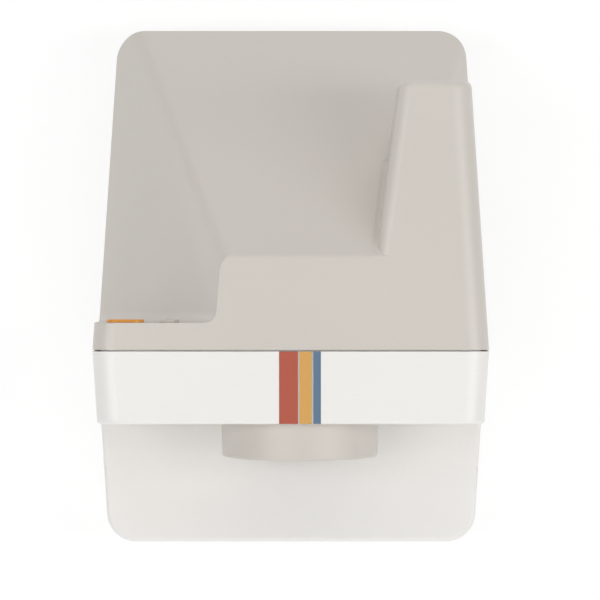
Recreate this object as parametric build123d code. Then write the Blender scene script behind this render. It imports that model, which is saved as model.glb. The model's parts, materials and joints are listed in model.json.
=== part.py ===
from build123d import *
import math
import os

# Instant camera, row frame: origin at the centre of the underside, +X to the
# viewfinder side, +Y to the rear, +Z up. Millimetres.

# ---------------------------------------------------------------- dimensions
HEIGHT = 94.0            # table to the flat top
Y_FRONT = -74.35         # front of the film door
Y_REAR = 74.35           # rear wall
Y_FACE = -38.65          # front face, above the film door
Y_SEAM = -18.3           # parting line of the two shells, widest station
HALF = 55.0              # half width of the top at the parting line
TAPER_F = 0.064          # plan taper ahead of the parting line
TAPER_R = 0.066          # plan taper behind it
DRAFT = 0.0258           # side draft, wider towards the table
SEAM_GAP = 0.4
WALL = 2.2
Z_BASE = 0.8             # underside of the shells, feet stand 0.8 proud
PLAN_R = 8.5             # plan corner radius front and rear
TOP_R = 6.4              # rounding along the two top side edges
X_AXIS = 2.56            # lens axis, hump and accent bars are centred here
Z_AXIS = 63.0
Y_HUMP = 7.95            # rear edge of the flat top, slope starts
SLOPE = 67.0 / 66.4      # fall of the rear slope
FACET = 2.107            # fall of the hump's side facets
FACET_Y = 0.1686
X_HUMP_L = -19.4
X_HUMP_R = 24.52
CREASE_R = 4.5
Y_WALL = -10.55          # rear-facing wall that carries the buttons
TOWER_END = 56.55        # rear end of the viewfinder housing
TOWER_Z = 66.0
BARREL_R = 22.0
BARREL_OUT = 9.9
BARREL_TILT = 1.9
DOOR_TOP = 36.0
DOOR_REAR = -38.95
HINGE_Y, HINGE_Z = -38.8, 2.6
HINGE_R, HINGE_PIN_R = 1.7, 0.8
SLOT_Z0, SLOT_Z1, SLOT_HALF = 19.2, 23.8, 46.3
ROLL_Y, ROLL_R, ROLL_GAP = -62.0, 4.05, 0.3
NIP_Z = 21.5
ROLL_HALF = 45.6
AXLE_R, RUN = 1.5, 0.05
MODULE = 0.6
GX0, GX1 = 49.3, 51.2    # gear plane
CHAMBER_X0, CHAMBER_X1 = -45.4, 47.8
CHAMBER_WALL = 1.2
CHAMBER_Z0, CHAMBER_Z1 = 3.3, 25.4
CHAMBER_Y0, CHAMBER_Y1 = -36.4, 66.0
ACCENT = ((-5.785, 5.2), (-0.085, 3.3), (3.715, 2.07))   # start, width

parts = {}


def half(y, z, off=0.0):
    k = TAPER_F if y < Y_SEAM else TAPER_R
    return HALF - k * abs(y - Y_SEAM) + DRAFT * (HEIGHT - z) - off


def ruled(lo, hi):
    return Solid.make_loft(
        [Wire.make_polygon([Vector(*p) for p in lo], close=True),
         Wire.make_polygon([Vector(*p) for p in hi], close=True)], True)


def body(y0, y1, z0, z1, off=0.0):
    """Tapered block of the outer form between two stations and two heights."""
    def ring(z):
        return [(-half(y0, z, off), y0, z), (half(y0, z, off), y0, z),
                (half(y1, z, off), y1, z), (-half(y1, z, off), y1, z)]
    return ruled(ring(z0), ring(z1))


def body2(y0, y1, z0, z1, off=0.0):
    """The same block where it crosses the widest station."""
    return one(body(y0, Y_SEAM, z0, z1, off) + body(Y_SEAM, y1, z0, z1, off))


def below(p, n):
    return Plane(origin=p, z_dir=n) * Pos(0, 0, -250) * Box(700, 700, 500)


def shifted(p, n, d):
    length = math.sqrt(sum(c * c for c in n))
    return tuple(a - b / length * d for a, b in zip(p, n))


SLOPE_P, SLOPE_N = (X_AXIS, Y_HUMP, HEIGHT), (0.0, SLOPE, 1.0)
LEFT_P, LEFT_N = (X_HUMP_L, Y_HUMP, HEIGHT), (-FACET, FACET_Y, 1.0)
RIGHT_P, RIGHT_N = (X_HUMP_R, Y_HUMP, HEIGHT), (FACET, FACET_Y, 1.0)


def on_plane(v, p, n, tol=0.02):
    length = math.sqrt(sum(c * c for c in n))
    return abs(sum((a - b) * c for a, b, c in zip((v.X, v.Y, v.Z), p, n))) / length < tol


def edges_between(shape, plane_a, plane_b):
    found = []
    for e in shape.edges():
        pts = [e @ 0, e @ 0.5, e @ 1]
        if all(on_plane(v, *plane_a) and on_plane(v, *plane_b) for v in pts):
            found.append(e)
    return found


def rounded(shape, edges, r, label=""):
    """Fillet, stepping down the radius if the corner can't take it."""
    edges = list(edges)
    if not edges:
        print("no edges for", label)
        return shape
    for k in (1.0, 0.8, 0.6, 0.4, 0.25):
        try:
            out = shape.fillet(r * k, edges)
            if out.is_valid and out.volume > 0:
                if k < 1:
                    print("fillet", label, "at", round(r * k, 2))
                return out
        except Exception:
            continue
    print("fillet left out:", label)
    return shape


def vertical(shape, test):
    return [e for e in shape.edges()
            if abs(e.tangent_at(0.5).Z) > 0.9 and test(e @ 0.5)]


def one(shape):
    s = shape.solids()
    return s[0] if len(s) == 1 else shape


def box(x0, x1, y0, y1, z0, z1):
    return Pos((x0 + x1) / 2, (y0 + y1) / 2, (z0 + z1) / 2) * Box(x1 - x0, y1 - y0, z1 - z0)


def plate_y(x0, x1, z0, z1, y0, y1, r):
    """Rounded rectangle in X and Z, thick along Y."""
    s = Plane(origin=((x0 + x1) / 2, y1, (z0 + z1) / 2), x_dir=(1, 0, 0), z_dir=(0, -1, 0)) * \
        RectangleRounded(x1 - x0, z1 - z0, r)
    return extrude(s, y1 - y0)


def cyl_y(x, z, r, y0, y1):
    return extrude(Plane(origin=(x, y1, z), x_dir=(1, 0, 0), z_dir=(0, -1, 0)) * Circle(r), y1 - y0)


def cyl_x(y, z, r, x0, x1):
    return extrude(Plane(origin=(x0, y, z), x_dir=(0, 1, 0), z_dir=(1, 0, 0)) * Circle(r), x1 - x0)


def cyl_z(x, y, r, z0, z1):
    return Pos(x, y, (z0 + z1) / 2) * Cylinder(r, z1 - z0)


def hump(y0, y1, z0, z1, d_slope, d_side, d_top=0.0):
    """The wedge under the rear slope and its two facets, shrunk by the offsets."""
    w = box(-90, 90, y0, y1, z0, min(z1, HEIGHT - d_top))
    w = w & below(shifted(SLOPE_P, SLOPE_N, d_slope), SLOPE_N)
    w = w & below(shifted(LEFT_P, LEFT_N, d_side), LEFT_N)
    w = w & below(shifted(RIGHT_P, RIGHT_N, d_side), RIGHT_N)
    return one(w)


# ---------------------------------------------------------------- rear shell
wedge = hump(Y_WALL - 1.5, 90, -20, HEIGHT, 0, 0)
wedge = rounded(wedge, edges_between(wedge, (SLOPE_P, SLOPE_N), (LEFT_P, LEFT_N)), CREASE_R, "left crease")
wedge = rounded(wedge, edges_between(wedge, (SLOPE_P, SLOPE_N), (RIGHT_P, RIGHT_N)), CREASE_R, "right crease")


def broken(shape, p, n_a, n_b, d):
    """Break the edge through p between two planes with a narrow flat."""
    la, lb = math.sqrt(sum(c * c for c in n_a)), math.sqrt(sum(c * c for c in n_b))
    n = tuple(x / la + y / lb for x, y in zip(n_a, n_b))
    return one(shape & below(shifted(p, n, d), n))


TOP_N = (0, 0, 1.0)
wedge = broken(wedge, SLOPE_P, TOP_N, SLOPE_N, 0.12)
bridge = box(22.2, 31, Y_WALL - 1.5, 16, 74, HEIGHT) & below(SLOPE_P, SLOPE_N)
rear_env = body(Y_WALL - 1.5, Y_REAR, Z_BASE, HEIGHT)
rear_env = rounded(rear_env, vertical(rear_env, lambda p: p.Y > Y_REAR - 1), PLAN_R, "rear corners")
core = one(wedge & rear_env)


def tower_x(y, z, off=0.0):
    return 23.6 + 0.137 * (y - Y_HUMP) - 0.006 * (HEIGHT - z) + off


def tower_block(y0, y1, z0, z1, off=0.0):
    def ring(z):
        return [(tower_x(y0, z, off), y0, z), (half(y0, z, off), y0, z),
                (half(y1, z, off), y1, z), (tower_x(y1, z, off), y1, z)]
    return ruled(ring(z0), ring(z1))


def long_edges(shape, test):
    return [e for e in shape.edges() if abs(e.tangent_at(0.5).Y) > 0.9 and test(e @ 0.5)]


tower = tower_block(Y_WALL - 1.5, TOWER_END, TOWER_Z, HEIGHT)
tower = rounded(tower, long_edges(tower, lambda p: p.Z > 93 and p.X > 45), TOP_R, "tower right top")
tower = rounded(tower, long_edges(tower, lambda p: p.Z > 93 and p.X < 35), 3.7, "tower left top")
tower = rounded(tower, long_edges(tower, lambda p: p.Z < 67), 2.4, "tower underside")
tower = rounded(tower, [e for e in tower.edges() if min((e @ 0).Y, (e @ 0.5).Y, (e @ 1).Y) > TOWER_END - 0.01],
                1.9, "tower rear rim")
strip = body(Y_SEAM + SEAM_GAP / 2, Y_WALL, Z_BASE, HEIGHT)
strip = rounded(strip, long_edges(strip, lambda p: p.Z > 93), TOP_R, "strip top")
rear = one(core + strip + tower + bridge)
print("rear block", round(rear.volume))
WALL_P, WALL_N = (0, Y_WALL, 50), (0, 1.0, 0)
rear = rounded(rear, edges_between(rear, (LEFT_P, LEFT_N), (WALL_P, WALL_N)), 3.4, "left facet foot")

cavity = hump(Y_WALL - 4, 90, -5, HEIGHT, WALL, WALL, WALL)
inner_env = body(Y_WALL - 4, Y_REAR - WALL, -1, HEIGHT, WALL)
inner_env = rounded(inner_env, vertical(inner_env, lambda p: p.Y > Y_REAR - WALL - 1), PLAN_R - WALL, "inner corners")
cavity = one(cavity & inner_env)
strip_cavity = body(Y_SEAM, Y_WALL - WALL, -1, HEIGHT - WALL, WALL)
strip_cavity = rounded(strip_cavity, long_edges(strip_cavity, lambda p: p.Z > 90), TOP_R - WALL, "strip inner")
tower_cavity = tower_block(Y_WALL - 4, TOWER_END - WALL, TOWER_Z + WALL, HEIGHT - WALL, WALL)
tower_cavity = rounded(tower_cavity, long_edges(tower_cavity, lambda p: p.Z > 90 and p.X > 40), TOP_R - WALL, "tower inner")
rear = rear - cavity - strip_cavity - tower_cavity

# eyepiece window in the tower's rear wall
EYE_X, EYE_Z, EYE_W, EYE_H = 39.4, 79.6, 15.0, 17.0
rear = rear - plate_y(EYE_X - EYE_W / 2, EYE_X + EYE_W / 2, EYE_Z - EYE_H / 2, EYE_Z + EYE_H / 2,
                      TOWER_END - 6, TOWER_END + 2, 2.5)
# buttons and counter window in the rear-facing wall
PWR_X, PWR_Z, PWR_W, PWR_H = -46.2, 83.6, 10.4, 5.6
MODE_X, MODE_Z, MODE_R = -34.0, 83.6, 2.8
CNT_X0, CNT_X1, CNT_Z0, CNT_Z1 = -47.0, -37.0, 66.5, 73.5
rear = rear - plate_y(PWR_X - PWR_W / 2 - 0.2, PWR_X + PWR_W / 2 + 0.2, PWR_Z - PWR_H / 2 - 0.2,
                      PWR_Z + PWR_H / 2 + 0.2, Y_WALL - 4, Y_WALL + 1, PWR_H / 2 + 0.19)
rear = rear - cyl_y(MODE_X, MODE_Z, MODE_R + 0.2, Y_WALL - 4, Y_WALL + 1)
rear = rear - plate_y(CNT_X0, CNT_X1, CNT_Z0, CNT_Z1, Y_WALL - 0.9, Y_WALL + 1, 1.2)
rear = rear - plate_y(CNT_X0 + 1, CNT_X1 - 1, CNT_Z0 + 1, CNT_Z1 - 1, Y_WALL - 4, Y_WALL + 1, 0.8)
BASE_TOP = Z_BASE + 2.2
parts["rear_shell"] = rear

# ---------------------------------------------------------------- front shell
Y_BAND = Y_SEAM - SEAM_GAP / 2
front = body(Y_FACE, Y_BAND, Z_BASE, HEIGHT)
front = rounded(front, long_edges(front, lambda p: p.Z > 93), TOP_R, "band top")
front = rounded(front, [e for e in front.edges() if max((e @ 0).Y, (e @ 0.5).Y, (e @ 1).Y) < Y_FACE + 0.01
                        and (e @ 0.5).Z > 2], 0.9, "band front rim")
front_cavity = body(Y_FACE + WALL, Y_SEAM, -1, HEIGHT - WALL, WALL)
front_cavity = rounded(front_cavity, long_edges(front_cavity, lambda p: p.Z > 90), TOP_R - WALL, "band inner")
front = front - front_cavity
# mouth of the film compartment, closed by the film door
front = front - body(Y_FACE - 2, Y_FACE + WALL + 1, -1, DOOR_TOP + 0.3, WALL)
# notch that the heel of the film door swings into
front = front - box(-90, 90, Y_FACE - 2, Y_FACE + 1.9, -1, 2.8)
# tongue that steps inside the rear shell along the parting line
tongue = body2(Y_BAND - 4, Y_BAND + 3.2, Z_BASE + 3.2, HEIGHT - WALL - 0.15, WALL + 0.15)
tongue = rounded(tongue, long_edges(tongue, lambda p: p.Z > 90), TOP_R - WALL - 0.15, "tongue top")
tongue_in = body2(Y_BAND - 6, Y_BAND + 6, -1, HEIGHT - WALL - 1.35, WALL + 1.35)
tongue_in = rounded(tongue_in, long_edges(tongue_in, lambda p: p.Z > 88), TOP_R - WALL - 1.35, "tongue inner")
front = front + (tongue - tongue_in)

# recess along the top for the accent bars
ACC_X0, ACC_X1 = X_AXIS - 5.785, X_AXIS + 5.785
front = front - box(ACC_X0, ACC_X1, Y_FACE - 1, Y_BAND + 0.01, HEIGHT - 0.5, HEIGHT + 1)
# lens hole and front fittings
front = front - cyl_y(X_AXIS, Z_AXIS, BARREL_R + 0.45, Y_FACE - 2, Y_FACE + WALL + 1)
FLASH = (-49.0, -24.0, 73.0, 87.5)
VIEW = (31.0, 48.0, 73.0, 87.0)
for x0, x1, z0, z1 in (FLASH, VIEW):
    front = front - plate_y(x0, x1, z0, z1, Y_FACE - 2, Y_FACE + 1.5, 2.6)
    front = front - plate_y(x0 + 1.2, x1 - 1.2, z0 + 1.2, z1 - 1.2, Y_FACE - 2, Y_FACE + WALL + 1, 1.6)
SHUT_X, SHUT_Z, SHUT_R = -38.5, 55.5, 6.6
TIMER_X, TIMER_Z, TIMER_R = 40.0, 55.5, 3.0
METER_X, METER_Z, METER_R = 40.0, 65.6, 2.6
AF_X, AF_Z, AF_R = 33.2, 65.6, 1.6
front = front - cyl_y(SHUT_X, SHUT_Z, SHUT_R + 0.25, Y_FACE - 2, Y_FACE + WALL + 1)
front = front - cyl_y(SHUT_X, SHUT_Z, SHUT_R + 1.6, Y_FACE - 2, Y_FACE + 0.8)
front = front - cyl_y(TIMER_X, TIMER_Z, TIMER_R + 0.2, Y_FACE - 2, Y_FACE + WALL + 1)
for x, z, r in ((METER_X, METER_Z, METER_R), (AF_X, AF_Z, AF_R)):
    front = front - cyl_y(x, z, r, Y_FACE - 2, Y_FACE + 1.2)
    front = front - cyl_y(x, z, r - 0.7, Y_FACE - 2, Y_FACE + WALL + 1)
# strap pockets, one each side, with a pin across
STRAP_Y, STRAP_Z, STRAP_L, STRAP_H, STRAP_D = -28.0, 57.0, 13.0, 8.4, 7.4
strap_pins = []
for sx in (-1, 1):
    xs = half(STRAP_Y, STRAP_Z)
    y0, y1 = STRAP_Y - STRAP_L / 2, STRAP_Y + STRAP_L / 2
    z0, z1 = STRAP_Z - STRAP_H / 2, STRAP_Z + STRAP_H / 2
    xa, xb = sorted((sx * (xs - STRAP_D - 1.4), sx * (xs - 0.9)))
    cup = box(xa, xb, y0 - 1.4, y1 + 1.4, z0 - 1.4, z1 + 1.4)
    xa, xb = sorted((sx * (xs - STRAP_D), sx * (xs + 2)))
    hollow = box(xa, xb, y0, y1, z0, z1)
    hollow = rounded(hollow, [e for e in hollow.edges() if abs(e.tangent_at(0.5).X) > 0.9], 1.5, "strap pocket")
    front = (front + cup) - hollow
    px = sx * (xs - 1.7)
    front = front - cyl_z(px, STRAP_Y, 1.1, z0 - 1.2, z1 + 1.2)
    strap_pins.append(cyl_z(px, STRAP_Y, 1.1, z0 - 1.2, z1 + 1.2))
# charging inlet on the left side and the latch window below it
USB_Y, USB_Z = -27.0, 44.0
xs = half(USB_Y, USB_Z)
front = front - box(-xs - 2, -xs + 1.0, USB_Y - 6.4, USB_Y + 6.4, USB_Z - 3.4, USB_Z + 3.4)
front = front - box(-xs - 2, -xs + 4, USB_Y - 4.65, USB_Y + 4.65, USB_Z - 1.8, USB_Z + 1.8)
LATCH_Y, LATCH_Z = -30.5, 20.0
xl = half(LATCH_Y, LATCH_Z)
front = front - box(-xl - 2, -xl + 1.5, LATCH_Y - 4.3, LATCH_Y + 4.3, LATCH_Z - 8.3, LATCH_Z + 8.3)
front = front - box(-xl - 2, -xl + 4, LATCH_Y - 2.0, LATCH_Y + 2.0, LATCH_Z - 6.2, LATCH_Z + 6.2)
parts["front_shell"] = front
parts["strap_pins"] = Compound(children=strap_pins)

# accent bars, three unequal bars inlaid over the band and turned down over its front
for i, (x0, w) in enumerate(ACCENT):
    bar = box(X_AXIS + x0 + (0.02 if i == 0 else 0.0), X_AXIS + x0 + w, Y_FACE + 0.05, Y_BAND, HEIGHT - 0.5, HEIGHT - 0.02)
    bar = rounded(bar, [e for e in bar.edges() if (e @ 0.5).Z > HEIGHT - 0.1 and (e @ 0.5).Y < Y_FACE + 0.1], 0.4, "bar")
    parts["accent_bar_" + ("wide", "middle", "narrow")[i]] = bar

# ---------------------------------------------------------------- base
base = body2(-36.6, Y_REAR - WALL - 0.3, Z_BASE, BASE_TOP, WALL + 0.3)
base = rounded(base, vertical(base, lambda p: p.Y > 70), PLAN_R - WALL - 0.3, "base corners")
FEET = ((-43.0, 62.0), (43.0, 62.0), (-43.0, -29.0), (43.0, -29.0))
feet = []
for x, y in FEET:
    base = base - cyl_z(x, y, 5.0, Z_BASE - 1, Z_BASE + 0.8)
    f = cyl_z(x, y, 4.9, 0.0, Z_BASE + 0.8)
    f = rounded(f, [e for e in f.edges() if (e @ 0.5).Z < 0.1], 0.45, "foot")
    feet.append(f)
# knuckles for the film door
pins = []
for sx in (-1, 1):
    for a, b in ((36.2, 38.7), (45.3, 47.8)):
        x0, x1 = sorted((sx * a, sx * b))
        k = cyl_x(HINGE_Y, HINGE_Z, HINGE_R, x0, x1) + box(x0, x1, HINGE_Y, -36.0, HINGE_Z - HINGE_R, BASE_TOP)
        base = base + (k - cyl_x(HINGE_Y, HINGE_Z, HINGE_PIN_R, x0, x1))
    x0, x1 = sorted((sx * 36.2, sx * 47.8))
    pins.append(cyl_x(HINGE_Y, HINGE_Z, HINGE_PIN_R, x0, x1))
screws = []
for x, y in ((-36.0, 68.0), (36.0, 68.0), (-49.0, -15.0), (49.0, -15.0)):
    base = base - cyl_z(x, y, 2.3, Z_BASE - 1, Z_BASE + 1.2) - cyl_z(x, y, 1.15, 0, 6)
    s = cyl_z(x, y, 2.1, Z_BASE + 0.1, Z_BASE + 1.2) + cyl_z(x, y, 1.05, Z_BASE + 1.2, Z_BASE + 6.2)
    cross = box(x - 1.3, x + 1.3, y - 0.3, y + 0.3, Z_BASE, Z_BASE + 0.7) + \
        box(x - 0.3, x + 0.3, y - 1.3, y + 1.3, Z_BASE, Z_BASE + 0.7)
    screws.append(s - cross)
parts["base_cover"] = base
parts["rubber_feet"] = Compound(children=feet)
parts["door_hinge_pins"] = Compound(children=pins)
parts["base_screws"] = Compound(children=screws)

# ---------------------------------------------------------------- film door
door = body(Y_FRONT, DOOR_REAR, Z_BASE, DOOR_TOP)
door = rounded(door, vertical(door, lambda p: p.Y < Y_FRONT + 1), PLAN_R, "door corners")
door = rounded(door, [e for e in door.edges() if min((e @ 0).Z, (e @ 0.5).Z, (e @ 1).Z) > DOOR_TOP - 0.01
                      and (e @ 0.5).Y < DOOR_REAR - 0.01], 1.3, "door top rim")
door_cavity = body(Y_FRONT + WALL, DOOR_REAR + 5, Z_BASE + WALL, DOOR_TOP - WALL, WALL)
door_cavity = rounded(door_cavity, vertical(door_cavity, lambda p: p.Y < Y_FRONT + WALL + 1), PLAN_R - WALL, "door inner")
door = door - door_cavity
door = door - plate_y(-SLOT_HALF, SLOT_HALF, SLOT_Z0, SLOT_Z1, Y_FRONT - 2, Y_FRONT + WALL + 2, 1.2)
# shallow relief round the slot on the front wall
door = door - plate_y(-SLOT_HALF - 1.6, SLOT_HALF + 1.6, SLOT_Z0 - 1.6, SLOT_Z1 + 1.6, Y_FRONT - 2, Y_FRONT + 0.6, 2.6)
for sx in (-1, 1):
    x0, x1 = sorted((sx * 35.9, sx * 48.1))
    door = door - box(x0, x1, -41.2, -36, -1, 4.9)
    x0, x1 = sorted((sx * 39.0, sx * 45.0))
    k = cyl_x(HINGE_Y, HINGE_Z, HINGE_R, x0, x1) + box(x0, x1, -41.5, HINGE_Y, HINGE_Z - HINGE_R, Z_BASE + WALL + 0.4)
    door = door + (k - cyl_x(HINGE_Y, HINGE_Z, HINGE_PIN_R + 0.06, x0 - 1, x1 + 1))
parts["film_door"] = door

# roller frame: two cheeks and a cross rail, screwed inside the door
ROLL_UP = NIP_Z + ROLL_R + ROLL_GAP / 2
ROLL_LO = NIP_Z - ROLL_R - ROLL_GAP / 2
frame = None
for sx in (-1, 1):
    x0, x1 = sorted((sx * 46.3, sx * 48.3))
    cheek = box(x0, x1, -67.0, -46.5, 3.2, 31.4)
    cheek = cheek - box(x0 - 1, x1 + 1, -57, -48, 19, 40)
    cheek = rounded(cheek, [e for e in cheek.edges() if abs(e.tangent_at(0.5).X) > 0.9], 1.5, "cheek")
    cheek = cheek - cyl_x(ROLL_Y, ROLL_UP, AXLE_R + RUN, x0 - 1, x1 + 1)
    cheek = cheek - cyl_x(ROLL_Y, ROLL_LO, AXLE_R + RUN, x0 - 1, x1 + 1)
    frame = cheek if frame is None else frame + cheek
frame = frame + box(-46.3, 46.3, -67.0, -65.6, 3.2, 11.0) + box(-46.3, 46.3, -67.0, -46.5, 3.2, 4.6)


def gear(teeth, cy, cz, rot, x0, x1, bore):
    """Spur gear turning about X; teeth tapered, with backlash."""
    pitch = 2 * math.pi / teeth
    r = MODULE * teeth / 2
    ra, rf = r + 0.82 * MODULE, r - 1.15 * MODULE
    pts = []
    for i in range(teeth):
        a = rot + i * pitch
        for rr, w in ((rf, 0.30), (r, 0.195), (ra, 0.085)):
            pts.append((rr, a - w * pitch))
        for rr, w in ((ra, 0.085), (r, 0.195), (rf, 0.30)):
            pts.append((rr, a + w * pitch))
    poly = [Vector(x0, cy + rr * math.cos(a), cz + rr * math.sin(a)) for rr, a in pts]
    face = Face(Wire.make_polygon(poly, close=True))
    g = extrude(face, x1 - x0, dir=(1, 0, 0))
    return g - cyl_x(cy, cz, bore, x0 - 1, x1 + 1)


def meshed(rot_a, teeth_a, ca, cb, teeth_b):
    """Phase of gear B that puts its gap where gear A has a tooth."""
    phi = math.atan2(cb[1] - ca[1], cb[0] - ca[0])
    p_a = ((phi - rot_a) / (2 * math.pi / teeth_a)) % 1.0
    return phi + math.pi - (2 * math.pi / teeth_b) * (0.5 - p_a)


T_ROLL, T_DOOR, T_BODY, T_DRIVE, T_MOTOR = 14, 28, 15, 24, 10
C_LO, C_UP = (ROLL_Y, ROLL_LO), (ROLL_Y, ROLL_UP)
d = MODULE * (T_ROLL + T_DOOR) / 2
ang = math.radians(-20.5)
C_DOOR = (C_LO[0] + d * math.cos(ang), C_LO[1] + d * math.sin(ang))
rel = (C_DOOR[0] - HINGE_Y, C_DOOR[1] - HINGE_Z)
n = math.hypot(*rel)
d = MODULE * (T_DOOR + T_BODY) / 2
C_BODY = (C_DOOR[0] + d * rel[1] / n, C_DOOR[1] - d * rel[0] / n)
C_DRIVE = (C_BODY[0] + MODULE * (T_BODY + T_DRIVE) / 2, C_BODY[1])
d = MODULE * (T_DRIVE + T_MOTOR) / 2
C_MOTOR = (C_DRIVE[0] + d * math.cos(math.radians(62)), C_DRIVE[1] + d * math.sin(math.radians(62)))
print("gears", C_LO, C_UP, C_DOOR, C_BODY, C_DRIVE, C_MOTOR)
rot_lo = 0.0
rot_up = meshed(rot_lo, T_ROLL, C_LO, C_UP, T_ROLL)
rot_door = meshed(rot_lo, T_ROLL, C_LO, C_DOOR, T_DOOR)
rot_body = meshed(rot_door, T_DOOR, C_DOOR, C_BODY, T_BODY)
rot_drive = meshed(rot_body, T_BODY, C_BODY, C_DRIVE, T_DRIVE)
rot_motor = meshed(rot_drive, T_DRIVE, C_DRIVE, C_MOTOR, T_MOTOR)
parts["lower_roller_gear"] = gear(T_ROLL, *C_LO, rot_lo, GX0, GX1, AXLE_R)
parts["upper_roller_gear"] = gear(T_ROLL, *C_UP, rot_up, GX0, GX1, AXLE_R)
parts["door_idler_gear"] = gear(T_DOOR, *C_DOOR, rot_door, GX0, GX1, 1.2 + RUN)
parts["body_idler_gear"] = gear(T_BODY, *C_BODY, rot_body, GX0, GX1, 1.2 + RUN)
parts["drive_gear"] = gear(T_DRIVE, *C_DRIVE, rot_drive, GX0, GX1, 1.2 + RUN)
pinion = gear(T_MOTOR, *C_MOTOR, rot_motor, GX0, GX1, 0.8)
parts["motor_pinion"] = pinion
frame = frame + cyl_x(C_DOOR[0], C_DOOR[1], 1.2, 48.0, 51.1)
parts["roller_frame"] = frame
for name, c in (("lower_roller", C_LO), ("upper_roller", C_UP)):
    r = cyl_x(*c, ROLL_R, -ROLL_HALF, ROLL_HALF)
    r = rounded(r, [e for e in r.edges()], 0.4, name)
    parts[name] = r + cyl_x(*c, AXLE_R, -48.9, GX1)
parts["film_shield"] = box(-46.0, 46.0, Y_FRONT + WALL + 0.25, Y_FRONT + WALL + 0.75, SLOT_Z1 + 0.15, 31.4) + \
    cyl_x(Y_FRONT + WALL + 1.45, 30.2, 1.2, -46.0, 46.0)

# ---------------------------------------------------------------- film chamber
ch = box(CHAMBER_X0, CHAMBER_X1, CHAMBER_Y0, CHAMBER_Y1, CHAMBER_Z0, CHAMBER_Z1)
ch = rounded(ch, vertical(ch, lambda p: p.Y > 60), 6.0, "chamber corners")
ch = one(ch & hump(CHAMBER_Y0 - 5, 90, 0, 90, WALL + 0.4, WALL + 0.4))
hol = box(CHAMBER_X0 + CHAMBER_WALL, CHAMBER_X1 - CHAMBER_WALL, CHAMBER_Y0 - 2, CHAMBER_Y1 - CHAMBER_WALL,
          CHAMBER_Z0 + 1.2, CHAMBER_Z1 - 1.2)
hol = rounded(hol, vertical(hol, lambda p: p.Y > 60), 4.8, "chamber inner")
hol = one(hol & hump(CHAMBER_Y0 - 5, 90, 0, 90, WALL + 1.6, WALL + 1.6))
ch = ch - hol
GATE = (X_AXIS - 39.5, X_AXIS + 39.5, -17.0, 58.5)
ch = ch - box(*GATE, CHAMBER_Z1 - 3, CHAMBER_Z1 + 2)
PICK_Z0, PICK_Z1 = 16.6, 19.6
ch = ch - box(CHAMBER_X0 - 1, CHAMBER_X0 + 3, 43.0, 58.6, PICK_Z0 - 0.4, PICK_Z1 + 0.4)
parts["film_chamber"] = ch
arm = box(-46.8, -45.8, -30.0, 58.0, PICK_Z0, PICK_Z1) + box(-46.8, -44.3, 56.8, 58.0, PICK_Z0, PICK_Z1)
parts["pick_arm"] = arm

# ---------------------------------------------------------------- mirror and light cone
cone_out = hump(-19.2, 90, 25.7, 86.0, 7.4, 6.0)
cone_out = one(cone_out & body2(-19.2, 66, 25.7, 86.0, 9.0))
cone_in = hump(-17.8, 90, 20.0, 84.6, 7.4 - 3.0, 7.4)
cone_in = one(cone_in & body(-17.8, 66.5, 20.0, 84.6, 10.4))
cone = cone_out - cone_in - cyl_y(X_AXIS, Z_AXIS, 15.0, -21, -17)
parts["light_cone"] = cone
mirror = hump(-17.8, 90, 29.5, 84.0, 5.2, 6.4)
mirror = mirror - hump(-30, 90, 0, 90, 7.2, -20)
mirror = one(mirror & body(-17.0, 66, 29.5, 84.0, 9.2))
parts["mirror"] = mirror

# ---------------------------------------------------------------- lens
def tilted(shape):
    return Pos(X_AXIS, Y_FACE, Z_AXIS) * Rot(BARREL_TILT, 0, 0) * shape


def turned(pts):
    """Revolve an (r, w) profile about the lens axis, w forward of the face."""
    face = Face(Wire.make_polygon([Vector(r, -w, 0) for r, w in pts], close=True))
    return revolve(face, Axis((0, 0, 0), (0, 1, 0)), 360)


B = BARREL_OUT
barrel = turned([(19.8, -3.2), (22.15, -3.2), (22.15, 0), (22.0, B - 1.1), (21.7, B - 0.45), (21.2, B - 0.1),
                 (20.6, B), (19.8, B), (19.8, B - 0.2)])
barrel = turned([(19.8, -3.2), (22.2, -3.2), (22.2, 0), (22.0, B), (20.3, B), (19.8, B - 0.6)])
barrel = rounded(barrel, [e for e in barrel.edges() if (e @ 0.5).Y < -B + 0.01 and abs((e @ 0).Z ** 2 + (e @ 0).X ** 2 - 22.0 ** 2) < 1],
                 0.7, "barrel rim")
parts["lens_barrel"] = tilted(barrel)
bezel = turned([(19.7, -2.8), (19.7, B - 1.0), (18.6, B - 1.0), (17.6, B - 2.4), (16.6, B - 2.4), (15.6, B - 4.0),
                (14.4, B - 4.0), (13.4, B - 5.6), (12.2, B - 5.6), (11.4, B - 7.0), (11.4, -2.8)])
parts["lens_bezel"] = tilted(bezel)
lens_pts = [(0.0, 0.4)] + [(11.3 * i / 10, 3.6 - 2.6 * (i / 10) ** 2) for i in range(0, 11)] + [(11.3, 0.4)]
parts["front_lens"] = tilted(turned(lens_pts))
mount = turned([(10.0, 0.2), (11.3, 0.2), (11.3, -3.3), (20.6, -3.3), (20.6, -4.6), (8.0, -4.6), (8.0, -3.2), (10.0, -3.2)])
parts["lens_mount"] = tilted(mount)
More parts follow.
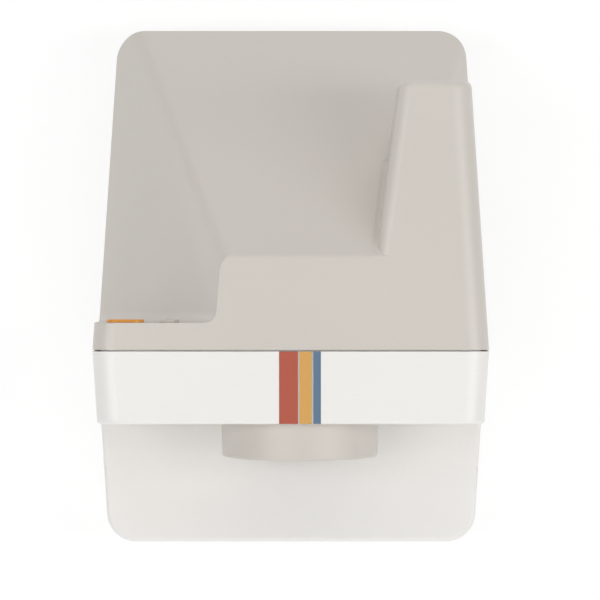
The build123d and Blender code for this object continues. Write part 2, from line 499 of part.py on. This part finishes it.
# focus arm: two lens rings that swap behind the front glass
FOC_X, FOC_Z, FOC_D = X_AXIS, Z_AXIS - 12.5, 12.5
FOC_Y0, FOC_Y1 = -32.0, -30.4
foc = cyl_y(FOC_X, FOC_Z, 4.0, FOC_Y0, FOC_Y1)
lenses = []
for deg in (90.0, 152.0):
    cx, cz = FOC_X + FOC_D * math.cos(math.radians(deg)), FOC_Z + FOC_D * math.sin(math.radians(deg))
    foc = foc + cyl_y(cx, cz, 6.3, FOC_Y0, FOC_Y1)
    arm_v = Plane(origin=((FOC_X + cx) / 2, FOC_Y1, (FOC_Z + cz) / 2), x_dir=(math.cos(math.radians(deg)), 0, math.sin(math.radians(deg))),
                  z_dir=(0, -1, 0)) * Rectangle(FOC_D, 5.0)
    foc = foc + extrude(arm_v, FOC_Y1 - FOC_Y0)
for deg in (90.0, 152.0):
    cx, cz = FOC_X + FOC_D * math.cos(math.radians(deg)), FOC_Z + FOC_D * math.sin(math.radians(deg))
    foc = foc - cyl_y(cx, cz, 5.2, FOC_Y0 - 1, FOC_Y1 + 1)
    lenses.append(cyl_y(cx, cz, 5.2, FOC_Y0 + 0.2, FOC_Y1 - 0.2))
foc = foc - cyl_y(FOC_X, FOC_Z, 1.2 + RUN, FOC_Y0 - 1, FOC_Y1 + 1)
parts["focus_arm"] = foc
parts["focus_lenses"] = Compound(children=lenses)
# shutter plate with its aperture, blade guides and the focus arm's pin
SH_X0, SH_X1, SH_Z0, SH_Z1 = X_AXIS - 21.0, X_AXIS + 21.0, 42.0, 83.0
sh = plate_y(SH_X0, SH_X1, SH_Z0, SH_Z1, -29.6, -28.2, 3.0) - cyl_y(X_AXIS, Z_AXIS, 5.0, -31, -27)
sh = sh + cyl_y(FOC_X, FOC_Z, 1.2, -32.6, -29.0)
for z0, z1 in ((Z_AXIS - 11.4, Z_AXIS - 8.3), (Z_AXIS + 8.3, Z_AXIS + 11.4)):
    sh = sh + box(SH_X0 + 1, SH_X1 - 1, -28.4, -25.6, z0, z1)
sh = sh + (plate_y(SH_X0, SH_X1, Z_AXIS - 11.4, Z_AXIS + 11.4, -25.6, -24.4, 3.0) - cyl_y(X_AXIS, Z_AXIS, 7.0, -27, -23))
parts["shutter_plate"] = sh
for name, s, y0 in (("shutter_blade_left", -1, -27.7), ("shutter_blade_right", 1, -26.6)):
    x0, x1 = sorted((X_AXIS - s * 16.5, X_AXIS + s * 8.6))
    bl = plate_y(x0, x1, Z_AXIS - 8.0, Z_AXIS + 8.0, y0, y0 + 0.5, 1.5)
    bl = bl - cyl_y(X_AXIS - s * 10.4, Z_AXIS, 4.6, y0 - 1, y0 + 1)
    parts[name] = bl
parts["rear_lens"] = cyl_y(X_AXIS, Z_AXIS, 7.0, -25.6, -24.4)

# ---------------------------------------------------------------- flash
fx0, fx1, fz0, fz1 = FLASH
parts["flash_window"] = plate_y(fx0, fx1, fz0, fz1, Y_FACE + 0.15, Y_FACE + 1.5, 2.6) + \
    plate_y(fx0 + 1.2, fx1 - 1.2, fz0 + 1.2, fz1 - 1.2, Y_FACE + 0.15, Y_FACE + WALL, 1.6)
zc = (fz0 + fz1) / 2


def trough(grow):
    lo = [(fx0 + 1.4 - grow, Y_FACE + WALL + 0.2, zc - 6.2 - grow), (fx1 - 1.4 + grow, Y_FACE + WALL + 0.2, zc - 6.2 - grow),
          (fx1 - 1.4 + grow, Y_FACE + WALL + 0.2, zc + 6.2 + grow), (fx0 + 1.4 - grow, Y_FACE + WALL + 0.2, zc + 6.2 + grow)]
    y1 = Y_FACE + WALL + 8.0 + grow
    hi = [(fx0 + 1.4 - grow, y1, zc - 2.2 - grow), (fx1 - 1.4 + grow, y1, zc - 2.2 - grow),
          (fx1 - 1.4 + grow, y1, zc + 2.2 + grow), (fx0 + 1.4 - grow, y1, zc + 2.2 + grow)]
    return ruled(lo, hi)


parts["flash_reflector"] = trough(0.8) - trough(0.0) - cyl_x(Y_FACE + WALL + 6.0, zc, 1.6, fx0 - 1, fx1 + 1)
parts["flash_tube"] = cyl_x(Y_FACE + WALL + 6.0, zc, 1.5, fx0, fx1)
cap = cyl_x(-27.0, 34.0, 5.6, -46.0, -18.0)
parts["flash_capacitor"] = rounded(cap, cap.edges().filter_by(GeomType.CIRCLE), 0.8, "capacitor")

# ---------------------------------------------------------------- viewfinder
vx0, vx1, vz0, vz1 = VIEW
parts["viewfinder_window"] = plate_y(vx0, vx1, vz0, vz1, Y_FACE + 0.15, Y_FACE + 1.5, 2.6) + \
    plate_y(vx0 + 1.2, vx1 - 1.2, vz0 + 1.2, vz1 - 1.2, Y_FACE + 0.15, Y_FACE + WALL, 1.6)
TX0, TX1, TZ0, TZ1 = 31.8, 47.2, 71.0, 88.6
tun = box(TX0, TX1, Y_FACE + WALL + 0.3, TOWER_END - 5.6, TZ0, TZ1) - \
    box(TX0 + 1.2, TX1 - 1.2, Y_FACE, TOWER_END, TZ0 + 1.2, TZ1 - 1.2)
parts["viewfinder_tunnel"] = tun
eye = plate_y(EYE_X - EYE_W / 2 + 0.1, EYE_X + EYE_W / 2 - 0.1, EYE_Z - EYE_H / 2 + 0.1, EYE_Z + EYE_H / 2 - 0.1,
              TOWER_END - 5.2, TOWER_END - 0.4, 2.4)
eye = eye - plate_y(EYE_X - 5.6, EYE_X + 5.6, EYE_Z - 6.6, EYE_Z + 6.6, TOWER_END - 6, TOWER_END + 1, 1.8)
eye = eye - plate_y(EYE_X - 6.4, EYE_X + 6.4, EYE_Z - 7.4, EYE_Z + 7.4, TOWER_END - 1.5, TOWER_END + 1, 2.2)
parts["eyepiece_frame"] = eye
parts["eyepiece_lens"] = plate_y(EYE_X - 5.6, EYE_X + 5.6, EYE_Z - 6.6, EYE_Z + 6.6, TOWER_END - 4.4, TOWER_END - 2.6, 1.8)

# ---------------------------------------------------------------- windows, buttons, electronics
parts["meter_windows"] = Compound(children=[
    cyl_y(METER_X, METER_Z, METER_R, Y_FACE + 0.15, Y_FACE + 1.2), cyl_y(AF_X, AF_Z, AF_R, Y_FACE + 0.15, Y_FACE + 1.2)])


def domed(shape, y, r, label):
    return rounded(shape, [e for e in shape.edges() if abs((e @ 0.5).Y - y) < 0.01], r, label)


btn = domed(cyl_y(SHUT_X, SHUT_Z, SHUT_R, Y_FACE - 0.9, Y_FACE + 5.0), Y_FACE - 0.9, 1.0, "shutter button")
parts["shutter_button"] = btn + cyl_y(SHUT_X, SHUT_Z, SHUT_R + 0.9, Y_FACE + WALL + 0.2, Y_FACE + WALL + 1.4)
btn = domed(cyl_y(TIMER_X, TIMER_Z, TIMER_R, Y_FACE - 0.9, Y_FACE + 5.0), Y_FACE - 0.9, 0.5, "timer button")
parts["self_timer_button"] = btn + cyl_y(TIMER_X, TIMER_Z, TIMER_R + 0.8, Y_FACE + WALL + 0.2, Y_FACE + WALL + 1.2)
btn = plate_y(PWR_X - PWR_W / 2, PWR_X + PWR_W / 2, PWR_Z - PWR_H / 2, PWR_Z + PWR_H / 2, Y_WALL - WALL - 1.0, Y_WALL + 0.9, PWR_H / 2 - 0.01)
btn = domed(btn, Y_WALL + 0.9, 0.4, "power button")
parts["power_button"] = btn + plate_y(PWR_X - PWR_W / 2 - 0.8, PWR_X + PWR_W / 2 + 0.8, PWR_Z - PWR_H / 2 - 0.8, PWR_Z + PWR_H / 2 + 0.8,
                                      Y_WALL - WALL - 1.0, Y_WALL - WALL - 0.15, PWR_H / 2 + 0.7)
btn = domed(cyl_y(MODE_X, MODE_Z, MODE_R, Y_WALL - WALL - 1.0, Y_WALL + 0.9), Y_WALL + 0.9, 0.4, "mode button")
btn = btn + cyl_y(MODE_X, MODE_Z, MODE_R + 0.8, Y_WALL - WALL - 1.0, Y_WALL - WALL - 0.15)
parts["mode_button"] = btn - cyl_y(MODE_X, MODE_Z, 1.0, Y_WALL - 6, Y_WALL + 2)
parts["mode_button_light"] = cyl_y(MODE_X, MODE_Z, 1.0, Y_WALL - WALL - 0.9, Y_WALL + 0.95)
parts["counter_window"] = plate_y(CNT_X0, CNT_X1, CNT_Z0, CNT_Z1, Y_WALL - 0.9, Y_WALL - 0.1, 1.2) + \
    plate_y(CNT_X0 + 1, CNT_X1 - 1, CNT_Z0 + 1, CNT_Z1 - 1, Y_WALL - WALL, Y_WALL - 0.5, 0.8)
parts["button_board"] = box(-50.0, -31.5, -17.0, -15.4, 63.0, 87.5)
chips = box(36.0, 44.0, -22.6, -21.4, 42.0, 50.0) + box(29.0, 33.0, -22.2, -21.4, 53.0, 59.0) + box(38.0, 43.0, -23.4, -21.4, 55.0, 60.0)
parts["main_board"] = box(26.0, 46.4, -21.4, -19.8, 39.5, 66.0) + chips
bat = box(-45.8, -23.0, -25.2, -19.8, 46.5, 70.0)
bat = rounded(bat, bat.edges(), 1.0, "battery")
parts["battery"] = bat
xs = half(USB_Y, USB_Z)
usb = box(-xs + 0.7, -xs + 8.4, USB_Y - 4.55, USB_Y + 4.55, USB_Z - 1.7, USB_Z + 1.7)
usb = rounded(usb, [e for e in usb.edges() if abs(e.tangent_at(0.5).X) > 0.9], 1.5, "usb shell")
hol = box(-xs, -xs + 7.2, USB_Y - 4.2, USB_Y + 4.2, USB_Z - 1.35, USB_Z + 1.35)
hol = rounded(hol, [e for e in hol.edges() if abs(e.tangent_at(0.5).X) > 0.9], 1.2, "usb mouth")
parts["usb_socket"] = (usb - hol) + box(-xs + 1.6, -xs + 8.0, USB_Y - 3.2, USB_Y + 3.2, USB_Z - 0.35, USB_Z + 0.35)
# film door latch: side slider with an inner hook
la = box(-xl + 0.5, -xl + 1.2, LATCH_Y - 3.9, LATCH_Y + 3.9, LATCH_Z - 6.0, LATCH_Z + 3.0)
for k in range(4):
    la = la + box(-xl - 0.1, -xl + 0.6, LATCH_Y - 3.2, LATCH_Y + 3.2, LATCH_Z - 4.6 + 1.9 * k, LATCH_Z - 3.7 + 1.9 * k)
la = la + box(-xl + 1.0, -xl + 3.5, LATCH_Y - 1.7, LATCH_Y + 1.7, LATCH_Z - 4.0, LATCH_Z + 1.8)
la = la + box(-xl + 3.3, -xl + 4.3, LATCH_Y - 9.4, LATCH_Y + 3.0, LATCH_Z - 4.5, LATCH_Z + 2.3)
parts["door_latch"] = la

# motor, its bracket and the gear plate
mot = cyl_x(C_MOTOR[0], C_MOTOR[1], 6.0, 24.0, 46.6) & box(20, 60, C_MOTOR[0] - 4.8, C_MOTOR[0] + 4.8, 0, 90)
mot = mot + cyl_x(C_MOTOR[0], C_MOTOR[1], 2.4, 46.6, 47.3)
parts["drive_motor"] = mot
parts["motor_shaft"] = cyl_x(C_MOTOR[0], C_MOTOR[1], 0.8, 47.5, GX1)
brk = box(47.3, 48.4, -33.0, -19.8, 25.8, 38.8) - cyl_x(C_MOTOR[0], C_MOTOR[1], 1.2, 40, 60)
parts["motor_bracket"] = brk
face = Face(Wire.make_polygon([Vector(51.5, y, z) for y, z in (
    (C_BODY[0] - 2.6, C_BODY[1] - 2.6), (C_DRIVE[0] + 3, C_BODY[1] - 2.6), (-19.9, 27.0), (-19.9, 38.5),
    (-31.0, 38.5), (C_BODY[0] - 2.6, C_BODY[1] + 2.6))], close=True))
gp = extrude(face, 0.7, dir=(1, 0, 0))
for c in (C_BODY, C_DRIVE):
    gp = gp + cyl_x(c[0], c[1], 1.2, 49.0, 51.6)
for y, z in ((-21.2, 28.0), (-21.2, 36.8)):
    gp = gp + cyl_x(y, z, 0.8, 48.4, 51.6)
parts["gear_plate"] = gp

# ---------------------------------------------------------------- output
os.makedirs("parts", exist_ok=True)
for name, shape in parts.items():
    export_step(shape, "parts/" + name + ".step")
print(len(parts), "nodes")
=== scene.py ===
import bpy
import bmesh
import json
import math
from mathutils import Vector, Matrix


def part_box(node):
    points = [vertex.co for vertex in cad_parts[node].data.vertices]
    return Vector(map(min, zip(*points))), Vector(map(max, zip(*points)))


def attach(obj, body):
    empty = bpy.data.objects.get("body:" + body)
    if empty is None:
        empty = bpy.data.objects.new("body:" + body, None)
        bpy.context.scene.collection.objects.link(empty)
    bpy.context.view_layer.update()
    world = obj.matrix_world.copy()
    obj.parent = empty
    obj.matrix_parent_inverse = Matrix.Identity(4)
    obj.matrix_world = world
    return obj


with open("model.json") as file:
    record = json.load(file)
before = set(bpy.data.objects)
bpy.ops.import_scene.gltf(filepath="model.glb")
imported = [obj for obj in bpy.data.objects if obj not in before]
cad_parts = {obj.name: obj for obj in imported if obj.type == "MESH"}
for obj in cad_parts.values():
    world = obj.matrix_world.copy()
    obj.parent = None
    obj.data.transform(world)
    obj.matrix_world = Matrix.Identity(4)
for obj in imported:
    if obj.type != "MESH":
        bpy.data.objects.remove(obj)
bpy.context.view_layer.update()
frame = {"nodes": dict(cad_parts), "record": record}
N = frame["nodes"]
MM = 0.001
X_AXIS, Z_AXIS, Y_FACE, Y_SEAM, TOP = 2.56, 63.0, -38.65, -18.3, 94.0


def lin(r, g, b):
    """sRGB 0-255 to linear."""
    out = []
    for c in (r, g, b):
        c /= 255.0
        out.append(c / 12.92 if c <= 0.04045 else ((c + 0.055) / 1.055) ** 2.4)
    return (*out, 1.0)


# ------------------------------------------------------------------ materials
class Graph:
    def __init__(self, name):
        self.mat = bpy.data.materials.new(name)
        self.mat.use_nodes = True
        self.nt = self.mat.node_tree
        self.nt.nodes.clear()
        self.out = self.add("ShaderNodeOutputMaterial")
        self.bsdf = self.add("ShaderNodeBsdfPrincipled")
        self.link(self.bsdf, "BSDF", self.out, "Surface")
        self.coord = self.add("ShaderNodeTexCoord")

    def add(self, kind, **props):
        n = self.nt.nodes.new(kind)
        for k, v in props.items():
            setattr(n, k, v)
        return n

    def link(self, a, sa, b, sb):
        self.nt.links.new(a.outputs[sa], b.inputs[sb])

    def noise(self, scale, detail=3.0, rough=0.5, distortion=0.0, stretch=None):
        n = self.add("ShaderNodeTexNoise")
        n.inputs["Scale"].default_value = scale
        n.inputs["Detail"].default_value = detail
        n.inputs["Roughness"].default_value = rough
        n.inputs["Distortion"].default_value = distortion
        if stretch:
            m = self.add("ShaderNodeMapping")
            m.inputs["Scale"].default_value = stretch
            self.link(self.coord, "Object", m, "Vector")
            self.link(m, "Vector", n, "Vector")
        else:
            self.link(self.coord, "Object", n, "Vector")
        return n

    def ramp(self, src, out, stops):
        r = self.add("ShaderNodeValToRGB")
        els = r.color_ramp.elements
        while len(els) < len(stops):
            els.new(0.5)
        for e, (p, c) in zip(els, stops):
            e.position = p
            e.color = c
        self.link(src, out, r, "Fac")
        return r

    def remap(self, src, out, lo, hi, a=0.0, b=1.0):
        m = self.add("ShaderNodeMapRange")
        m.inputs["From Min"].default_value = a
        m.inputs["From Max"].default_value = b
        m.inputs["To Min"].default_value = lo
        m.inputs["To Max"].default_value = hi
        self.link(src, out, m, "Value")
        return m


def shade(c, k):
    return (min(c[0] * k, 1), min(c[1] * k, 1), min(c[2] * k, 1), 1.0)


def plastic(name, color, rough=0.48, spread=0.025, grain=900.0, depth=0.010, swirl=14.0, spec=0.5, coat=0.0, edge=0.35, rub_and_highlight=1.035):
    """Moulded plastic: slow colour drift, a fine spark-eroded grain, roughness that follows the grain, edges
    softened, and edges lightened in patches as rubbed wear plus a painted highlight.
    """
    g = Graph(name)
    drift = g.noise(swirl, 2.0, 0.5, 0.3)
    fleck = g.noise(grain * 1.7, 2.0, 0.6)
    mix = g.add("ShaderNodeMix", data_type="RGBA", blend_type="MULTIPLY")
    base = g.ramp(drift, "Fac", ((0.30, shade(color, 1 - spread)), (0.70, shade(color, 1 + spread))))
    speck = g.ramp(fleck, "Fac", ((0.35, (0.985, 0.985, 0.985, 1)), (0.65, (1, 1, 1, 1))))
    mix.inputs[0].default_value = 1.0
    g.nt.links.new(base.outputs["Color"], mix.inputs[6])
    g.nt.links.new(speck.outputs["Color"], mix.inputs[7])
    cell = g.noise(grain, 2.0, 0.55)
    bump = g.add("ShaderNodeBump")
    bump.inputs["Strength"].default_value = 0.35
    bump.inputs["Distance"].default_value = depth * MM
    g.link(cell, "Fac", bump, "Height")
    g.link(bump, "Normal", g.bsdf, "Normal")
    r = g.remap(cell, "Fac", rough - 0.05, rough + 0.06, 0.3, 0.7)
    if edge:
        bevel = g.add("ShaderNodeBevel", samples=4)
        bevel.inputs["Radius"].default_value = edge * MM
        g.link(bevel, "Normal", bump, "Normal")
        flat = g.add("ShaderNodeNewGeometry")
        dot = g.add("ShaderNodeVectorMath", operation="DOT_PRODUCT")
        g.nt.links.new(bevel.outputs["Normal"], dot.inputs[0])
        g.nt.links.new(flat.outputs["Normal"], dot.inputs[1])
        patch = g.noise(120.0, 3.0, 0.65)
        rim = g.remap(dot, "Value", 1.0, 0.0, 0.86, 0.99)
        spots = g.remap(patch, "Fac", 0.25, 1.0, 0.42, 0.62)
        both = g.add("ShaderNodeMath", operation="MULTIPLY")
        g.nt.links.new(rim.outputs["Result"], both.inputs[0])
        g.nt.links.new(spots.outputs["Result"], both.inputs[1])
        # base colour lightened along the edges in noisy patches: part rubbed wear, part painted highlight
        rubbed_and_highlit = g.add("ShaderNodeMix", data_type="RGBA", blend_type="MIX")
        g.nt.links.new(both.outputs[0], rubbed_and_highlit.inputs[0])
        g.nt.links.new(mix.outputs[2], rubbed_and_highlit.inputs[6])
        rubbed_and_highlit.inputs[7].default_value = shade(color, rub_and_highlight)
        g.nt.links.new(rubbed_and_highlit.outputs[2], g.bsdf.inputs["Base Color"])
        polish = g.add("ShaderNodeMath", operation="MULTIPLY_ADD")
        g.nt.links.new(both.outputs[0], polish.inputs[0])
        polish.inputs[1].default_value = -0.10
        g.nt.links.new(r.outputs["Result"], polish.inputs[2])
        g.nt.links.new(polish.outputs[0], g.bsdf.inputs["Roughness"])
    else:
        g.nt.links.new(mix.outputs[2], g.bsdf.inputs["Base Color"])
        g.link(r, "Result", g.bsdf, "Roughness")
    g.bsdf.inputs["Specular IOR Level"].default_value = spec
    g.bsdf.inputs["Coat Weight"].default_value = coat
    return g.mat


def metal(name, color, rough=0.3, brushed=(40.0, 900.0, 900.0), depth=0.004, spread=0.06):
    """Metal with drawn or ground lines along X."""
    g = Graph(name)
    lines = g.noise(1.0, 4.0, 0.6, 0.0, brushed)
    cloud = g.noise(60.0, 3.0, 0.6)
    base = g.ramp(cloud, "Fac", ((0.3, shade(color, 1 - spread)), (0.7, shade(color, 1 + spread))))
    g.link(base, "Color", g.bsdf, "Base Color")
    g.bsdf.inputs["Metallic"].default_value = 1.0
    r = g.remap(lines, "Fac", rough - 0.1, rough + 0.14, 0.3, 0.7)
    g.link(r, "Result", g.bsdf, "Roughness")
    bump = g.add("ShaderNodeBump")
    bump.inputs["Strength"].default_value = 0.3
    bump.inputs["Distance"].default_value = depth * MM
    g.link(lines, "Fac", bump, "Height")
    g.link(bump, "Normal", g.bsdf, "Normal")
    return g.mat


def glass(name, tint, rough=0.03, coat=0.3, ior=1.5, smear=0.04):
    g = Graph(name)
    smudge = g.noise(70.0, 3.0, 0.6, 0.5)
    g.bsdf.inputs["Transmission Weight"].default_value = 1.0
    g.bsdf.inputs["IOR"].default_value = ior
    g.bsdf.inputs["Coat Weight"].default_value = coat
    base = g.ramp(smudge, "Fac", ((0.35, shade(tint, 0.97)), (0.65, tint)))
    g.link(base, "Color", g.bsdf, "Base Color")
    r = g.remap(smudge, "Fac", rough, rough + smear, 0.45, 0.75)
    g.link(r, "Result", g.bsdf, "Roughness")
    return g.mat


BEIGE = (0.612, 0.573, 0.524, 1.0)
WHITE = (0.845, 0.828, 0.800, 1.0)
M = {
    "shell_beige": plastic("shell_beige", BEIGE, 0.38, 0.012, 1100.0, 0.008),
    "blend_beige": plastic("blend_beige", BEIGE, 0.38, 0.012, 1100.0, 0.008, edge=0.06, rub_and_highlight=1.0),
    "shell_white": plastic("shell_white", WHITE, 0.37, 0.010, 1100.0, 0.008),
    "barrel_beige": plastic("barrel_beige", BEIGE, 0.36, 0.012, 1100.0, 0.006),
    "accent_terracotta": plastic("accent_terracotta", lin(178, 84, 62), 0.38, 0.03, 1500.0, 0.004),
    "accent_ochre": plastic("accent_ochre", lin(214, 163, 84), 0.38, 0.03, 1500.0, 0.004),
    "accent_slate": plastic("accent_slate", lin(92, 119, 144), 0.38, 0.03, 1500.0, 0.004),
    "amber_plastic": plastic("amber_plastic", lin(226, 150, 48), 0.34, 0.03, 1200.0, 0.005, coat=0.15),
    "red_plastic": plastic("red_plastic", lin(208, 82, 44), 0.34, 0.03, 1200.0, 0.005, coat=0.15),
    "black_plastic": plastic("black_plastic", (0.018, 0.018, 0.020, 1), 0.52, 0.10, 1300.0, 0.012),
    "dark_gloss": plastic("dark_gloss", (0.008, 0.008, 0.011, 1), 0.10, 0.10, 400.0, 0.001, coat=0.6),
    "rubber_grey": plastic("rubber_grey", (0.045, 0.045, 0.047, 1), 0.80, 0.08, 1600.0, 0.030, spec=0.3),
    "steel": metal("steel", (0.62, 0.62, 0.63, 1), 0.24, (30.0, 1400.0, 1400.0)),
    "zinc": metal("zinc", (0.66, 0.66, 0.64, 1), 0.36, (300.0, 300.0, 300.0), 0.006, 0.10),
    "gear_nylon": plastic("gear_nylon", (0.72, 0.70, 0.62, 1), 0.40, 0.03, 700.0, 0.006),
    "lens_glass": glass("lens_glass", (0.90, 0.93, 0.98, 1), 0.01, 0.8, 1.52, 0.02),
    "clear_plastic": glass("clear_plastic", (0.95, 0.96, 0.97, 1), 0.02, 0.4, 1.49, 0.05),
    "mirror_glass": metal("mirror_glass", (0.88, 0.89, 0.90, 1), 0.13, (20.0, 20.0, 20.0), 0.0005, 0.01),
    "reflector": metal("reflector", (0.86, 0.86, 0.87, 1), 0.18, (60.0, 400.0, 400.0), 0.003, 0.02),
    "board_green": plastic("board_green", (0.015, 0.090, 0.042, 1), 0.32, 0.14, 500.0, 0.010, coat=0.3),
    "battery_wrap": plastic("battery_wrap", (0.10, 0.13, 0.18, 1), 0.36, 0.10, 300.0, 0.020),
}
slot_of = {s["node"]: s["material_slot"] for s in frame["record"]["subparts"]}
for name, obj in N.items():
    use = {"lens_barrel": "barrel_beige"}.get(name, slot_of[name])
    obj.data.materials.clear()
    obj.data.materials.append(M[use])


# ------------------------------------------------------------------ helpers for extra pieces
def made(name, bm, mat, body="camera_body", smooth=True):
    me = bpy.data.meshes.new(name)
    bmesh.ops.recalc_face_normals(bm, faces=bm.faces)
    bm.to_mesh(me)
    bm.free()
    for p in me.polygons:
        p.use_smooth = smooth
    ob = bpy.data.objects.new(name, me)
    bpy.context.scene.collection.objects.link(ob)
    me.materials.append(M[mat])
    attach(ob, body)
    return ob


# ------------------------------------------------------------------ moulded blend along the viewfinder housing's foot
Y_HUMP, FALL, RIM = 7.95, 67.0 / 66.4, 3.7
N_SLOPE = Vector((0.0, FALL, 1.0)).normalized()


def housing(s, y):
    """Point and normal on the housing's left side: s runs from the flat top, round the rim and down the wall."""
    quarter = RIM * math.pi / 2
    if s < 0:
        u, v, n = RIM - s, 0.0, Vector((0, 0, 1))
    elif s < quarter:
        a = s / RIM
        u, v, n = RIM * (1 - math.sin(a)), RIM * (1 - math.cos(a)), Vector((-math.sin(a), 0.137 * math.sin(a), math.cos(a)))
    else:
        u, v, n = 0.0, RIM + s - quarter, Vector((-1, 0.137, 0))
    return Vector((23.6 + 0.137 * (y - Y_HUMP) - 0.006 * v + u, y, TOP - v)), n.normalized()


bm = bmesh.new()
rings = []
STEPS = 110
S_END = RIM * math.pi / 2 + 24.1
for i in range(STEPS + 1):
    s = 0.35 + (S_END - 0.35) * (i / STEPS) ** 1.5
    v = housing(s, 0.0)[0].z
    y = Y_HUMP + (TOP - v) / FALL
    c, nt = housing(s, y)
    tau = nt.cross(N_SLOPE).normalized()
    a = tau.cross(N_SLOPE).normalized()
    if a.x > 0:
        a.negate()
    e = 1.55 * min(1.0, (s / 3.2) ** 0.6) * min(1.0, 0.25 + math.sqrt(max(0.0, (S_END - s) / 1.6)))
    top, n_top = housing(s - e * 1.1, y)
    lift = 0.17 * min(1.0, s / 4.0) ** 0.7
    prof = [c + a * (e + 0.14) - N_SLOPE * 0.08, c + a * (e + 0.07) + N_SLOPE * lift * 0.90, c + a * (e + 0.01) + N_SLOPE * lift,
            c + a * (e - 0.14) + N_SLOPE * lift, c + a * (e - 0.20) + N_SLOPE * lift * 0.88]
    start, low = c + a * (e - 0.24) + N_SLOPE * lift * 0.75, c + a * 0.30 + N_SLOPE * 0.01
    prof += [start.lerp(low, k / 4) for k in range(5)]
    side = housing(s - 0.30, y)[0]
    for k in range(1, 6):
        t = k / 5
        prof.append(low * (1 - t) ** 2 + c * (2 * t * (1 - t)) + (side + n_top * 0.004) * t ** 2)
    top = side
    prof.append(top + (top - c).normalized() * 0.25 - n_top * 0.12)
    inward = (nt + N_SLOPE).normalized()
    prof.append(c - inward * 0.45)
    for p in prof:
        p.z = min(p.z, TOP - 0.03)
    rings.append([bm.verts.new(p * MM) for p in prof])
for r0, r1 in zip(rings, rings[1:]):
    for k in range(len(r0)):
        q = (k + 1) % len(r0)
        bm.faces.new((r0[k], r0[q], r1[q], r1[k]))
bm.faces.new(rings[0])
bm.faces.new(list(reversed(rings[-1])))
made("housing_foot_blend", bm, "blend_beige")

# ------------------------------------------------------------------ prisms moulded behind the flash window
lo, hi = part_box("flash_window")
x0, x1, z0, z1 = lo.x + 1.7 * MM, hi.x - 1.7 * MM, lo.z + 1.7 * MM, hi.z - 1.7 * MM
yb = hi.y + 0.02 * MM
count = 36
bm = bmesh.new()
line = [(x0, yb), (x1, yb)]
for k in range(count, 0, -1):
    xa, xb = x0 + (x1 - x0) * k / count, x0 + (x1 - x0) * (k - 0.5) / count
    line += [(xa, yb + 0.16 * MM), (xb, yb + 0.42 * MM)]
line.append((x0, yb + 0.16 * MM))
low = [bm.verts.new((x, y, z0)) for x, y in line]
top = [bm.verts.new((x, y, z1)) for x, y in line]
for k in range(len(line)):
    q = (k + 1) % len(line)
    bm.faces.new((low[k], low[q], top[q], top[k]))
bm.faces.new(low)
bm.faces.new(list(reversed(top)))
made("flash_prisms", bm, "clear_plastic", smooth=False)

# ------------------------------------------------------------------ light, floor, camera
scene = bpy.context.scene
scene.view_settings.view_transform = "Standard"
world = bpy.data.worlds.new("studio")
scene.world = world
world.use_nodes = True
wt = world.node_tree
bg = wt.nodes["Background"]
bg.inputs["Strength"].default_value = 1.0
w_co = wt.nodes.new("ShaderNodeTexCoord")
w_sep = wt.nodes.new("ShaderNodeSeparateXYZ")
w_map = wt.nodes.new("ShaderNodeMapRange")      # a little more light from in front
w_map.inputs["From Min"].default_value = 0.0
w_map.inputs["From Max"].default_value = -1.0
w_map.inputs["To Min"].default_value = 0.341
w_map.inputs["To Max"].default_value = 0.579
wt.links.new(w_co.outputs["Generated"], w_sep.inputs["Vector"])
wt.links.new(w_sep.outputs["Y"], w_map.inputs["Value"])
wt.links.new(w_map.outputs["Result"], bg.inputs["Strength"])
bg.inputs["Color"].default_value = (1.0, 1.0, 1.0, 1.0)


def area(name, loc, target, size, power, color=(1, 1, 1)):
    d = bpy.data.lights.new(name, "AREA")
    d.shape = "RECTANGLE"
    d.size, d.size_y = size
    d.energy = power
    d.color = color
    o = bpy.data.objects.new(name, d)
    scene.collection.objects.link(o)
    o.location = loc
    o.rotation_euler = (Vector(target) - Vector(loc)).to_track_quat("-Z", "Y").to_euler()
    return o


AIM = (0, 0, 0.06)
area("soft_left", (-0.65, 0.0, 1.2), AIM, (0.35, 1.0), 4.8)
area("key_right", (0.75, 0.0, 0.9), AIM, (0.25, 0.8), 3.1)
area("right_low", (1.1, 0.0, 0.75), AIM, (0.25, 0.9), 0.6)
area("strip_front", (0.05, -0.9, 0.8), AIM, (0.8, 0.12), 2.6)
area("rear_low", (0.0, 1.2, 0.6), AIM, (0.9, 0.2), 3.1)
area("rear_high", (0.0, 0.6, 1.15), AIM, (0.9, 0.25), 0.7)

bm = bmesh.new()
bmesh.ops.create_grid(bm, x_segments=1, y_segments=1, size=1.6)
me = bpy.data.meshes.new("floor")
bm.to_mesh(me)
bm.free()
floor = bpy.data.objects.new("floor", me)
scene.collection.objects.link(floor)
g = Graph("floor_paper")
g.bsdf.inputs["Base Color"].default_value = (0.30, 0.30, 0.30, 1)
g.bsdf.inputs["Roughness"].default_value = 0.9
g.bsdf.inputs["Emission Color"].default_value = (1, 1, 1, 1)
g.bsdf.inputs["Emission Strength"].default_value = 0.72
floor.data.materials.append(g.mat)

cam_data = bpy.data.cameras.new("camera")
cam_data.sensor_width = 36.0
cam_data.lens = 260.2
cam_data.clip_start, cam_data.clip_end = 0.05, 20.0
cam = bpy.data.objects.new("camera", cam_data)
scene.collection.objects.link(cam)
cam.location = (0.00256, -0.00425, 1.294)
cam.rotation_euler = (0, 0, 0)
scene.camera = cam
